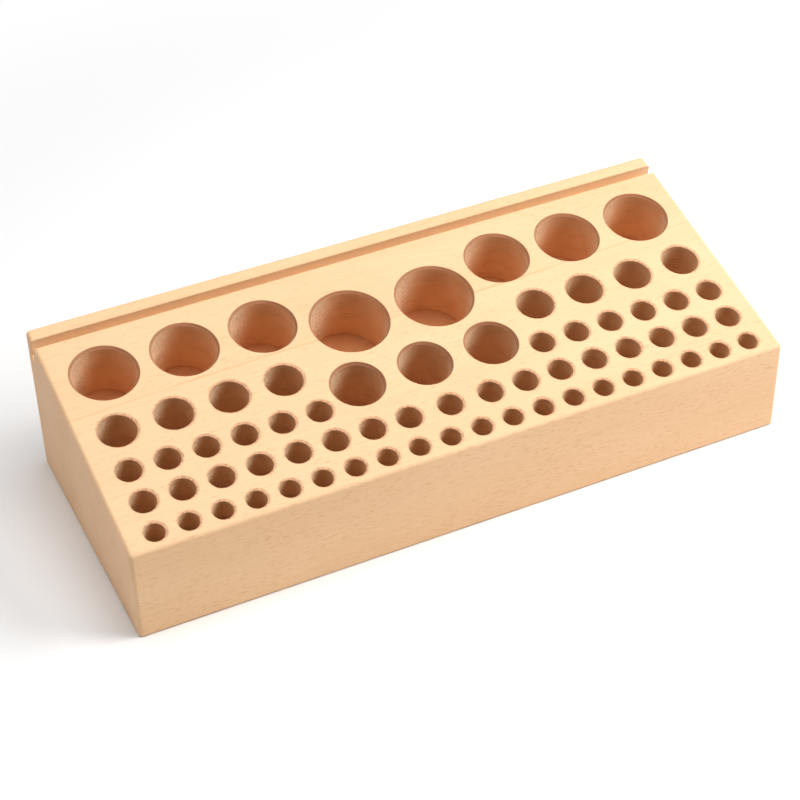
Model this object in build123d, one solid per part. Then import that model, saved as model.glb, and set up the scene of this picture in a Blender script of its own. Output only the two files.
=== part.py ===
from build123d import *
from math import atan2, degrees, hypot
import os

# A sloping bench rack for small tools, of solid beech. Two staves are glued edge to edge into
# one flat blank, its underside is sawn to a slant, and then the holes and the groove behind them
# are cut square to the top, which is the slope.
# Frame: +X along the rack to the right, +Y from the front to the back, +Z up, and the origin
# under the middle of the rack, where it stands. All sizes are in millimetres.

# The block
length = 270.0
depth = 110.0
front_height = 40.0
back_height = 65.0

# The glued joint between the staves, measured up the slope at each end of the rack
joint_at_left_end = 65.2
joint_at_right_end = 71.5

# The groove along the back, open at both ends
back_strip = 6.4
groove_width = 4.0
groove_depth = 8.0

# The drills. One stop sets the same depth for all of them, square to the slope
drill_front = 8.0
drill_second = 10.0
drill_third = 10.0
drill_fourth = 15.0
drill_top = 25.0
drill_middle = 20.0
drill_large = 30.0
hole_depth = 25.0

# The mouths of the holes from this drill upwards are eased, and smaller ones stay as drilled
smallest_eased_drill = 20.0
mouth_ease = 1.0

# Wood left between the rows, measured up the slope from the front edge
land_before_front = 2.8
land_before_second = 5.0
land_before_third = 4.8
land_before_fourth = 6.1
land_before_top = 7.8
land_before_middle = 6.9
land_before_large = 4.8

# Wood left between the holes of a row
land_in_front = 4.9
land_in_second = 5.0
land_in_third = 5.0
land_in_fourth = 7.0
land_in_top = 7.0
land_in_middle = 8.3
land_in_large = 6.4

# Wood left at the ends of the rack, and at least left beside the group of holes in the middle
land_at_end = 8.0
land_beside_middle = 3.0
count_middle = 3
count_large = 2

# Sanded edges
top_edge_round = 1.6
corner_round = 1.6
bottom_edge_ease = 0.5
groove_edge_ease = 0.3

rise = back_height - front_height
slope_length = hypot(depth, rise)

# The slope as a drawing plane: x along the rack, y up the slope, z square out of the wood
slope = Plane(
    origin=(0, -depth / 2, front_height),
    x_dir=(1, 0, 0),
    z_dir=(0, -rise / slope_length, depth / slope_length),
)


def wedge_blank():
    """The planed block with its edges sanded, before anything is cut into it."""
    outline = Polyline(
        (-depth / 2, 0),
        (depth / 2, 0),
        (depth / 2, back_height),
        (-depth / 2, front_height),
        close=True,
    )
    block = extrude(Plane.YZ * make_face(outline), length / 2, both=True)
    block = fillet(block.edges().filter_by(Axis.Z), corner_round)
    top = block.faces().sort_by(Axis.Z)[-1]
    block = fillet(top.edges(), top_edge_round)
    bottom = block.faces().sort_by(Axis.Z)[0]
    return chamfer(bottom.edges(), bottom_edge_ease)


def back_groove():
    """The slot behind the holes, whose two top edges are eased as the cutter leaves the wood."""
    half = groove_width / 2
    above = groove_width
    section = Polyline(
        (-half, -groove_depth),
        (half, -groove_depth),
        (half, -groove_edge_ease),
        (half + groove_edge_ease + above, above),
        (-half - groove_edge_ease - above, above),
        (-half, -groove_edge_ease),
        close=True,
    )
    slot = extrude(Plane.YZ * make_face(section), length, both=True)
    return slope * Pos(0, slope_length - back_strip - half, 0) * slot


def last_place(drill):
    """How far from the middle a row's outermost hole stands."""
    return length / 2 - land_at_end - drill / 2


def spread_row(drill, land):
    """A full row, shared out evenly from one end of the rack to the other."""
    last = last_place(drill)
    steps = round(2 * last / (drill + land))
    return [-last + 2 * last * i / steps for i in range(steps + 1)]


def side_rows(drill, land, nearest):
    """Two matching runs of holes from the ends inwards, none nearer the middle than nearest."""
    last = last_place(drill)
    count = int((last - nearest) / (drill + land)) + 1
    right = [last - (drill + land) * i for i in range(count)]
    return sorted([-x for x in right] + right)


def centred_row(drill, land, count):
    """A short row about the middle of the rack."""
    places = range(round(count))
    return [(drill + land) * (i - (len(places) - 1) / 2) for i in places]


def hole_rows():
    """Each row's drill, its distance up the slope, and the places of its holes."""
    front = land_before_front + drill_front / 2
    second = front + (drill_front + drill_second) / 2 + land_before_second
    third = second + (drill_second + drill_third) / 2 + land_before_third
    fourth = third + (drill_third + drill_fourth) / 2 + land_before_fourth
    top = fourth + (drill_fourth + drill_top) / 2 + land_before_top
    middle = second + (drill_second + drill_middle) / 2 + land_before_middle
    large = middle + (drill_middle + drill_large) / 2 + land_before_large

    middle_places = centred_row(drill_middle, land_in_middle, count_middle)
    large_places = centred_row(drill_large, land_in_large, count_large)
    past_middle = middle_places[-1] + drill_middle / 2 + land_beside_middle
    past_large = large_places[-1] + drill_large / 2 + land_beside_middle
    second_places = side_rows(drill_second, land_in_second, drill_second + land_in_second)
    third_places = side_rows(drill_third, land_in_third, past_middle + drill_third / 2)
    fourth_places = side_rows(drill_fourth, land_in_fourth, past_middle + drill_fourth / 2)
    return [
        (drill_front, front, spread_row(drill_front, land_in_front)),
        (drill_second, second, sorted(second_places + [0.0])),
        (drill_third, third, third_places),
        (drill_fourth, fourth, fourth_places),
        (drill_middle, middle, middle_places),
        (drill_large, large, large_places),
        (drill_top, top, side_rows(drill_top, land_in_top, past_large + drill_top / 2)),
    ]


def drilled_hole(drill):
    """What one drill takes away: a flat-bottomed hole, with its mouth eased if it is a large one."""
    radius = drill / 2
    ease = mouth_ease if drill >= smallest_eased_drill else 0
    above = mouth_ease
    wall_and_mouth = [(radius, -ease), (radius + ease + above, above)] if ease else [(radius, above)]
    section = Polyline(
        (0, -hole_depth),
        (radius, -hole_depth),
        *wall_and_mouth,
        (0, above),
        close=True,
    )
    return revolve(Plane.XZ * make_face(section), Axis.Z)


def all_holes():
    """Every hole of every row, placed on the slope."""
    cuts = []
    for drill, up_slope, places in hole_rows():
        hole = drilled_hole(drill)
        cuts += [slope * Pos(x, up_slope, 0) * hole for x in places]
    return cuts


def staves(rack):
    """The rack parted along its glued joint, square to the slope, into the front and rear stave."""
    left = slope.from_local_coords(Vector(-length / 2, joint_at_left_end, 0))
    right = slope.from_local_coords(Vector(length / 2, joint_at_right_end, 0))
    along = right - left
    joint = Plane(origin=(left + right) / 2, x_dir=along, z_dir=slope.z_dir.cross(along))
    return split(rack, bisect_by=joint, keep=Keep.BOTTOM), split(rack, bisect_by=joint)


os.makedirs("parts", exist_ok=True)
rack = wedge_blank() - back_groove() - all_holes()
front_stave, rear_stave = staves(rack)
for name, stave in (("front_stave", front_stave), ("rear_stave", rear_stave)):
    stave.label = name
    export_step(stave, f"parts/{name}.step")
    print(name, "volume", round(stave.volume), "size", stave.bounding_box().size)
for drill, up_slope, places in hole_rows():
    print("drill", drill, "up slope", round(up_slope, 2), "holes", len(places))
print("slope angle", round(degrees(atan2(rise, depth)), 2))
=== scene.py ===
from math import atan2, cos, hypot, pi, radians, sin

import bpy
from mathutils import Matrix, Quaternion, Vector


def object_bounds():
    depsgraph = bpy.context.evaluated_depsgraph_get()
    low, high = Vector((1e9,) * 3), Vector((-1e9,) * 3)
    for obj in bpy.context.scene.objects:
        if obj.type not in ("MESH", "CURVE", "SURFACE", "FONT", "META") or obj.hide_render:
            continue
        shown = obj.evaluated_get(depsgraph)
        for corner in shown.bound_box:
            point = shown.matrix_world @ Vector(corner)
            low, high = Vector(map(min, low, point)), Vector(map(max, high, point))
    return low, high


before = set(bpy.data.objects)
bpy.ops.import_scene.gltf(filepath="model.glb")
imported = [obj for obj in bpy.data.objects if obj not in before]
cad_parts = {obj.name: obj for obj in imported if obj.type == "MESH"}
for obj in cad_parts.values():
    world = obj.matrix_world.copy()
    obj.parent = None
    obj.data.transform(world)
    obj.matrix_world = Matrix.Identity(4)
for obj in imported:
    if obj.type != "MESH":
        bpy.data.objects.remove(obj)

cad_low, cad_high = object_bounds()

# The rack as a block
# One wedge of pale beech, sawn, planed and sanded, with its low edge towards the user.
# Its slope is a plane through the top front edge, and every hole is drilled square to it.
millimetre = 0.001
faces = (cad_low.y, cad_high.y, cad_high.x)
front_face, back_face, end_face = (face / millimetre for face in faces)
front_height = 40.0
back_height = 65.0
slope = atan2(back_height - front_height, back_face - front_face)
slope_length = hypot(back_height - front_height, back_face - front_face)
hole_depth = 25.0

# The groove behind the holes starts just past this place up the slope
behind_top_row = slope_length - 12.0
groove_depth = 8.0

# The border along a face, where its rounded edge lies: its inner side and where it is full
border_inner = 2.3
border_full = 1.8


class Wire:
    """A socket of a finish's nodes that can stand in a sum, a product or a power."""

    def __init__(self, finish, socket):
        self.finish = finish
        self.socket = socket

    def __add__(self, other):
        return self.finish.math("ADD", self, other)

    def __radd__(self, other):
        return self.finish.math("ADD", other, self)

    def __sub__(self, other):
        return self.finish.math("SUBTRACT", self, other)

    def __rsub__(self, other):
        return self.finish.math("SUBTRACT", other, self)

    def __mul__(self, other):
        return self.finish.math("MULTIPLY", self, other)

    def __rmul__(self, other):
        return self.finish.math("MULTIPLY", other, self)

    def __truediv__(self, other):
        return self.finish.math("DIVIDE", self, other)

    def __pow__(self, other):
        return self.finish.math("POWER", self, other)

    def __abs__(self):
        return self.finish.math("ABSOLUTE", self, 0)


class Finish:
    """The nodes of a material or of the room, and the one way in which they are made."""

    def __init__(self, owner):
        owner.use_nodes = True
        self.owner = owner
        self.tree = owner.node_tree
        self.tree.nodes.clear()

    def add(self, kind, settings, inputs, output=0):
        node = self.tree.nodes.new("ShaderNode" + kind)
        for key, value in settings.items():
            setattr(node, key, value)
        for key, value in inputs.items():
            if isinstance(value, Wire):
                self.tree.links.new(value.socket, node.inputs[key])
            else:
                node.inputs[key].default_value = value
        return Wire(self, node.outputs[output]) if node.outputs else None

    def math(self, operation, first, second):
        return self.add("Math", {"operation": operation}, {0: first, 1: second})

    def between(self, value, low, high):
        """0 below low and 1 above high, with a soft step from one to the other."""
        return self.add(
            "MapRange",
            {"interpolation_type": "SMOOTHSTEP"},
            {"Value": value, "From Min": low, "From Max": high, "To Min": 0.0, "To Max": 1.0},
        )

    def blend(self, share, first, second, way="MIX"):
        """One colour laid over another by a share."""
        colours = {"data_type": "RGBA", "blend_type": way, "clamp_factor": True}
        return self.add("Mix", colours, {0: share, 6: first, 7: second}, 2)

    def tinted(self, share, colour, tint):
        """A colour multiplied by a tint, by a share."""
        return self.blend(share, colour, tint, "MULTIPLY")


# The rows of small holes
# Holes of 8, 10 and 15 mm, drilled without easing, so the drill has torn a soft ring round
# each mouth. A row runs inwards from both ends: drill, place up the slope, outermost, pitch, count.
small_rows = [
    (8.0, 6.8, 123.0, 246.0 / 19, 10),
    (10.0, 20.8, 122.0, 15.0, 8),
    (10.0, 20.8, 0.0, 15.0, 1),
    (10.0, 35.6, 122.0, 15.0, 6),
    (15.0, 54.2, 119.5, 22.0, 4),
]
past_any_ring = 9.0

# How far the rings sit to the right of their holes, and up the slope from them. The shift lays
# more of their darker tint on the far right side of each mouth, away from the lamp: painted shade.
shade_shift_right = 0.3
shade_shift_up_slope = 0.35

# The wood
# Colours that lie over the pale beech where something shows in it, and tints that darken it
# where a saw or a drill has been. Some are painted light: painted shade in the small holes, at
# the bottoms of the holes, along the foot and on the far right of the torn rings, and a painted
# highlight in the pale orange on the frayed quarters of the hole walls.
fibre_and_shade_brown = (0.50, 0.26, 0.12, 1.0)
ray_brown = (0.66, 0.32, 0.14, 1.0)
ring_brown = (0.78, 0.40, 0.17, 1.0)
pale_orange = (1.0, 0.76, 0.50, 1.0)
sawn_tint = (0.96, 0.93, 0.98, 1.0)
drilled_tint = (0.97, 0.90, 0.88, 1.0)
small_hole_shade_tint = (0.86, 0.85, 0.85, 1.0)
frayed_tint = (0.62, 0.47, 0.40, 1.0)
ridge_tint = (0.7, 0.55, 0.45, 1.0)
hole_floor_shade_tint = (0.72, 0.52, 0.38, 1.0)
eased_mouth_tint = (0.43, 0.26, 0.20, 1.0)
torn_tint = (0.80, 0.64, 0.60, 1.0)
torn_speck_tint = (0.48, 0.34, 0.30, 1.0)


class Beech(Finish):
    """The bare sanded beech of one stave, laid out by where a point lies on the rack."""

    def __init__(self, name, seed):
        super().__init__(bpy.data.materials.new(name))
        self.seed = seed
        point = self.add("TexCoord", {}, {}, "Object")
        scale = {0: point, "Scale": 1 / millimetre}
        self.point = self.add("VectorMath", {"operation": "SCALE"}, scale)
        self.along, self.back, self.up = self.split(self.point)
        self.normal = self.split(self.add("NewGeometry", {}, {}, "Normal"))
        self.facing = [abs(part) for part in self.normal]

        # How far a point lies up the slope from the front edge, and how deep below the slope
        behind_front = self.back - front_face
        above_front = self.up - front_height
        self.up_slope = behind_front * cos(slope) + above_front * sin(slope)
        self.below = behind_front * sin(slope) - above_front * cos(slope)

    def split(self, vector):
        return [self.add("SeparateXYZ", {}, {0: vector}, i) for i in range(3)]

    def larger(self, first, second):
        return self.math("MAXIMUM", first, second)

    def smaller(self, first, second):
        return self.math("MINIMUM", first, second)

    def stretched(self, scale, shift):
        """The point as a texture sees it, with its own number of features per millimetre each way.

        It is turned a little, so that no row of a texture's cells lies along a face.
        """
        return self.add(
            "Mapping",
            {"vector_type": "POINT"},
            {
                "Vector": self.point,
                "Location": (self.seed + shift, shift, shift),
                "Rotation": (0.6, 0.5, 0.4),
                "Scale": scale,
            },
        )

    def noise(self, scale, detail, roughness=0.5, shift=0.0):
        place = {"Vector": self.stretched(scale, shift), "Scale": 1.0}
        return self.add(
            "TexNoise",
            {"noise_dimensions": "3D"},
            {**place, "Detail": detail, "Roughness": roughness},
        )

    def specks(self, scale, share, shift):
        """Spindles strewn through the wood, in a share of their cells: 1 inside, 0 outside."""
        reach = 0.34
        place = {"Vector": self.stretched(scale, shift), "Scale": 1.0, "Randomness": 1.0}
        distance = self.add("TexVoronoi", {"feature": "F1"}, place, "Distance")
        lot = self.split(self.add("TexVoronoi", {"feature": "F1"}, place, "Color"))[0]
        spindle = 1 - self.between(distance, reach * 0.3, reach)
        return spindle * self.between(lot, 1 - share, 1.05 - share)

    def surfaces(self):
        """Where a point is on a sawn end, along the foot, inside a hole or in the groove."""
        ends = self.between(abs(self.along), end_face - 1.0, end_face - 0.2)
        foot = 1 - self.between(self.up, 0.2, 0.9)
        rim = self.between(abs(self.along), end_face - border_inner, end_face - border_full)
        front = 1 - self.between(self.back - front_face, border_full, border_inner)
        back = self.between(self.back, back_face - border_inner, back_face - border_full)
        behind_holes = self.between(self.up_slope, behind_top_row, behind_top_row + 0.5)
        outside = behind_holes
        for border in (rim, front, back, foot):
            outside = self.larger(outside, border)
        inside = self.between(self.below, 0.02, 0.2) * (1 - outside)
        under_groove = self.between(self.below, groove_depth + 0.5, groove_depth + 1.0)
        groove_walls = self.between(self.below, 0.3, 1.0) * (1 - under_groove)
        groove = behind_holes * (1 - back) * (1 - ends) * groove_walls
        return ends, foot, inside, groove

    def past_mouth(self, drill, up_slope, outermost, pitch, count):
        """How far outside the nearest hole of a row a point lies, less where it tears most."""
        steps = self.math("ROUND", (outermost - abs(self.along)) / pitch, 0)
        steps = self.smaller(self.larger(steps, 0), count - 1)
        side = self.math("SIGN", self.along, 0)
        across = side * (abs(self.along) - outermost + steps * pitch) - shade_shift_right
        away = self.up_slope - up_slope - shade_shift_up_slope
        return (across * across + away * away) ** 0.5 - drill / 2

    def torn_rings(self):
        """The soft rings round the small mouths: 1 at the edge of a hole and 0 past the ring."""
        nearest = past_any_ring
        for row in small_rows:
            nearest = self.smaller(nearest, self.past_mouth(*row))
        ragged = nearest + 1.2 * (self.noise((0.9, 0.9, 0.9), 3.0, 0.7, shift=2.0) - 0.5)
        on_slope = 1 - self.between(self.below, 0.02, 0.3)
        return (1 - self.between(ragged, -0.1, 1.15)) * on_slope

    def growth_line(self):
        """The one growth ring that shows on the slope, as a soft brown line from end to end."""
        up_slope_in_the_middle = 68.3
        lean = 0.0236
        swing, wavelength, lag = 0.6, 190.0, 12.0
        wander = -swing * self.math("SINE", (self.along + lag) * (2 * pi / wavelength), 0)
        path = up_slope_in_the_middle + lean * self.along + wander
        strength = self.between(self.noise((0.03, 0.0, 0.0), 1.0, shift=21.0), 0.3, 0.75)
        off_the_line = self.between(abs(self.up_slope - path), 0.1, 0.9)
        return (1 - off_the_line) * (0.35 + 0.65 * strength)

    def sanded(self, pale, deep, inside):
        """The wood by itself: long fibres, brown flecks on its front and back, a growth ring."""
        lengthwise = 1 - self.facing[0]
        cloud = self.noise((0.012, 0.05, 0.05), 2.0, shift=11.0)
        fibres = self.noise((0.045, 1.1, 1.1), 4.0, 0.6)
        fine_fibres = self.noise((0.16, 4.0, 4.0), 2.0, 0.6, shift=3.0)
        fibre_tone = 0.6 * (fibres - 0.5) + 0.35 * (fine_fibres - 0.5)
        tone = 0.7 * (cloud - 0.5) + lengthwise * fibre_tone
        colour = self.blend(self.between(tone, -0.4, 0.6), pale, deep)

        long_flecks = self.specks((0.15, 0.03, 1.9), 0.7, 5.0)
        short_flecks = self.specks((0.25, 0.03, 2.9), 0.6, 9.0)
        crowd = self.between(self.noise((0.02, 0.06, 0.06), 2.0, shift=33.0), 0.4, 0.6)
        rays = self.larger(long_flecks, short_flecks) * (0.55 + 0.45 * crowd)
        rays = rays * self.facing[1] * (1 - inside)
        colour = self.blend(rays * 0.75, colour, ray_brown)
        streaks = self.specks((0.14, 1.1, 1.1), 0.35, 14.0)
        colour = self.blend(streaks * self.facing[2] * 0.3, colour, fibre_and_shade_brown)
        colour = self.blend(self.growth_line() * 0.6, colour, ring_brown)
        return colour, lengthwise * (0.05 * fibres + 0.03 * fine_fibres), fibres

    def drilled(self, colour, inside):
        """The holes: browner walls, with painted shade that darkens the smaller ones and the bottom
        of each hole.
        """
        colour = self.tinted(inside, colour, drilled_tint)
        # Painted shade: the smaller holes are darkened all over with a grey tint
        small_hole_shade = inside * (1 - self.between(self.up_slope, 62.0, 66.0))
        colour = self.tinted(small_hole_shade, colour, small_hole_shade_tint)

        # The drill lifts and frays the fibres on two opposite quarters of each wall. The pale
        # orange laid over them is partly painted highlight, where the lamp on the right catches the
        # fibres
        lifted = inside * self.between(0 - self.normal[0] * self.normal[1], -0.05, 0.5)
        frayed = self.noise((1.0, 1.0, 1.0), 4.0, 0.75, shift=5.0)
        colour = self.blend(lifted * 0.75, colour, pale_orange)
        colour = self.tinted(lifted * self.between(frayed, 0.48, 0.72), colour, frayed_tint)

        # Here and there it leaves fine ridges round the wall
        ridge_depth = self.below + 0.8 * self.noise((0.1, 0.1, 0.1), 1.0, shift=8.0)
        ridges = self.math("SINE", ridge_depth * 4.2, 0) * 0.5 + 0.5
        patches = self.between(self.noise((0.12, 0.12, 0.2), 1.0, shift=17.0), 0.45, 0.7)
        ridges = ridges * patches * inside
        colour = self.tinted(ridges * 0.35, colour, ridge_tint)
        # Painted shade: the bottom of each hole is darkened
        painted_floor_shade = self.between(self.below, hole_depth - 0.3, hole_depth - 0.05) * inside
        colour = self.tinted(painted_floor_shade, colour, hole_floor_shade_tint)
        return colour, lifted * 0.6 * frayed + ridges * 0.12

    def mouths(self, colour, inside):
        """The dark eased edges of the large mouths, and the torn rings round the small ones."""
        pores = self.noise((2.2, 2.2, 2.2), 3.0, 0.7, shift=5.0)
        tilt = self.normal[2] * cos(slope) - self.normal[1] * sin(slope)
        eased = self.between(tilt, 0.3, 0.6) * (1 - self.between(self.below, 1.1, 1.4)) * inside
        colour = self.tinted(eased * (0.7 + 0.3 * pores), colour, eased_mouth_tint)
        torn = self.torn_rings()
        colour = self.tinted(torn * 0.9, colour, torn_tint)
        crumbs = self.noise((1.3, 1.3, 1.3), 2.0, 0.6, shift=25.0)
        torn_specks = torn * self.between(crumbs, 0.5, 0.6)
        colour = self.tinted(torn_specks * 0.5, colour, torn_speck_tint)
        return colour, 0.2 * torn + 0.1 * torn_specks

    def finish(self, pale, deep):
        """The whole finish, in colour and in a relief of well under a millimetre."""
        ends, foot, inside, groove = self.surfaces()
        colour, grain, fibres = self.sanded(pale, deep, inside)

        # The sawn ends are pinker, painted contact shade darkens the foot, and the groove is paler
        # inside
        colour = self.tinted(ends * 0.6, colour, sawn_tint)
        colour = self.blend(foot * 0.6, colour, fibre_and_shade_brown)
        colour = self.blend(groove * 0.6, colour, pale_orange)
        colour, frays = self.drilled(colour, inside)
        colour, tears = self.mouths(colour, inside)

        relief = {"Strength": 1.0, "Distance": millimetre, "Height": grain + frays - tears}
        surface = self.add(
            "BsdfPrincipled",
            {},
            {
                "Base Color": colour,
                "Roughness": 0.55 + 0.15 * fibres + 0.15 * inside,
                "Normal": self.add("Bump", {}, relief),
                "IOR": 1.45,
                "Specular IOR Level": 0.3,
            },
        )
        self.add("OutputMaterial", {}, {"Surface": surface})
        return self.owner


# The two staves
# Both are cut from the same pale beech, and the rear one is a shade browner. The seeds give
# each its own fibres, so the grain doesn't run on across the glued joint.
for node, name, seed, pale, deep in (
    ("front_stave", "beech_front", 31.0, (0.91, 0.61, 0.36, 1.0), (0.83, 0.51, 0.27, 1.0)),
    ("rear_stave", "beech_rear", 57.0, (0.90, 0.60, 0.35, 1.0), (0.82, 0.50, 0.26, 1.0)),
):
    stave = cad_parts[node]
    stave.data.materials.clear()
    stave.data.materials.append(Beech(name, seed).finish(pale, deep))

# The floor
# A plain pale sweep that the rack shades. Further off the camera sees it fade into the white
# behind it, as a curved sheet of paper does.
floor_reach = 3.0
fade_from, fade_to = 0.24, 0.42
paper_white = (0.92, 0.92, 0.92, 1.0)
pure_white = (1.0, 1.0, 1.0, 1.0)
bpy.ops.mesh.primitive_plane_add(size=2 * floor_reach, location=(0, 0, 0))
floor = bpy.context.object
floor.name = "floor"
paper = Finish(bpy.data.materials.new("floor"))
by_camera = paper.add("LightPath", {}, {}, "Is Camera Ray")
point = paper.add("TexCoord", {}, {}, "Object")
distance = paper.add("VectorMath", {"operation": "LENGTH"}, {0: point}, "Value")
sheet = paper.add("BsdfDiffuse", {}, {"Color": paper_white, "Roughness": 0.0})
glow = paper.add("Emission", {}, {"Color": pure_white, "Strength": 1.0})
faded = by_camera * paper.between(distance, fade_from, fade_to)
surface = paper.add("MixShader", {}, {0: faded, 1: sheet, 2: glow})
paper.add("OutputMaterial", {}, {"Surface": surface})
floor.data.materials.append(paper.owner)

# The light
# A large soft lamp overhead, a nearer one on the right and a faint one on the left. The room
# itself gives no light, but the camera sees it as white.
room = Finish(bpy.data.worlds.new("room"))
bpy.context.scene.world = room.owner
unlit = room.add("Background", {}, {"Color": pure_white, "Strength": 0.0})
white = room.add("Background", {}, {"Color": pure_white, "Strength": 1.0})
by_camera = room.add("LightPath", {}, {}, "Is Camera Ray")
by_gloss = room.add("LightPath", {}, {}, "Is Glossy Ray")
by_glass = room.add("LightPath", {}, {}, "Is Transmission Ray")
looked_at_directly = room.math("MAXIMUM", room.math("MAXIMUM", by_camera, by_gloss), by_glass)
surface = room.add("MixShader", {}, {0: looked_at_directly, 1: unlit, 2: white})
room.add("OutputWorld", {}, {"Surface": surface})

lit_point = Vector((0.0, 0.0, 0.03))
for name, place, size, watts in (
    ("key", (0.68, -0.34, 0.62), 0.6, 8.1),
    ("overhead", (0.04, 0.0, 1.4), 1.25, 16.2),
    ("fill", (-0.9, 0.1, 0.45), 0.7, 1.6),
):
    place = Vector(place)
    bpy.ops.object.light_add(type="AREA", location=place)
    lamp = bpy.context.object
    lamp.name = name
    lamp.data.shape = "DISK"
    lamp.data.size = size
    lamp.data.energy = watts
    lamp.rotation_euler = (lit_point - place).to_track_quat("-Z", "Y").to_euler()

# The camera
# It looks down on the rack from the front left, as the photograph does, and its picture
# leans by the same degree.
eye = Vector((-0.2657, -0.5663, 0.5325))
looked_at = Vector((-0.0082, -0.0076, 0.030))
roll = radians(-1.13)
bpy.ops.object.camera_add(location=eye)
camera = bpy.context.object
camera.name = "camera"
camera.data.lens = 92.3
camera.data.sensor_width = 36
camera.rotation_mode = "QUATERNION"
turn = (looked_at - eye).to_track_quat("-Z", "Y")
camera.rotation_quaternion = turn @ Quaternion((0, 0, 1), roll)
bpy.context.scene.camera = camera
bpy.context.scene.view_settings.view_transform = "Standard"
